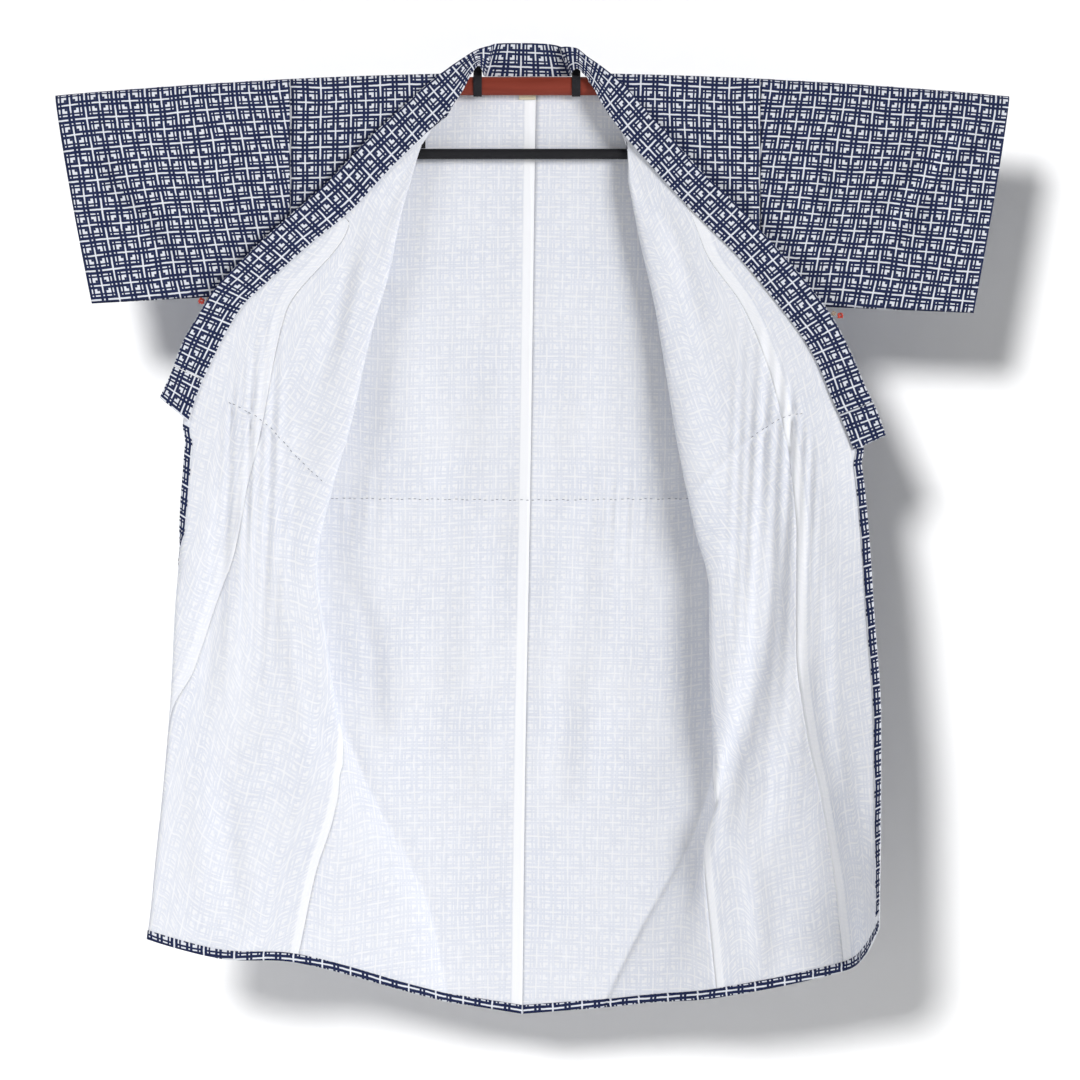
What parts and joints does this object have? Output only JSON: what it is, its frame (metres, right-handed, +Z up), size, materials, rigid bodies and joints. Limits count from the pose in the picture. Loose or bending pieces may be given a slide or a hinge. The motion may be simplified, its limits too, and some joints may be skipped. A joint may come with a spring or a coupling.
{
  "type": "cotton yukata robe on a kimono hanger",
  "caption": "Short-sleeved cotton yukata robe hung on a straight kimono hanger, with both fronts turned wide open to show the pale inside.",
  "frame": {"origin": "midway between the two eyes of the hanging straps, above the hanger's middle bar", "axes": "+Z up; the open front of the robe faces -Y; +X is to the viewer's right, which is the wearer's left; the sleeves lie along X"},
  "size_m": [1.3162, 0.1634, 1.343],
  "materials": {
    "printed_cotton": "matte",
    "label_cream": "matte",
    "tack_red": "matte",
    "tack_beige": "matte",
    "bar_lacquer": "satin",
    "hanger_black": "satin",
    "strap_black": "ribbed"
  },
  "bodies": {
    "root": {"body_left": "printed_cotton", "body_right": "printed_cotton", "okumi_left": "printed_cotton", "okumi_right": "printed_cotton", "sleeve_left": "printed_cotton", "sleeve_right": "printed_cotton", "over_collar": "printed_cotton", "collar_left": "printed_cotton", "collar_right": "printed_cotton", "hem_fold_left": "printed_cotton", "hem_fold_turned_back": "printed_cotton", "hem_fold_right": "printed_cotton", "edge_fold_left": "printed_cotton", "edge_fold_right": "printed_cotton", "neck_label": "label_cream", "sleeve_tack_left": "tack_red", "sleeve_tack_right": "tack_red", "sleeve_loop_left": "tack_beige", "sleeve_loop_right": "tack_beige", "hanger_bar": "bar_lacquer", "hanger_arm_left": "hanger_black", "hanger_arm_right": "hanger_black", "hanger_link_left": "hanger_black", "hanger_link_right": "hanger_black", "lower_bar": "hanger_black", "hanging_strap_left": "strap_black", "hanging_strap_right": "strap_black"}
  },
  "joints": []
}
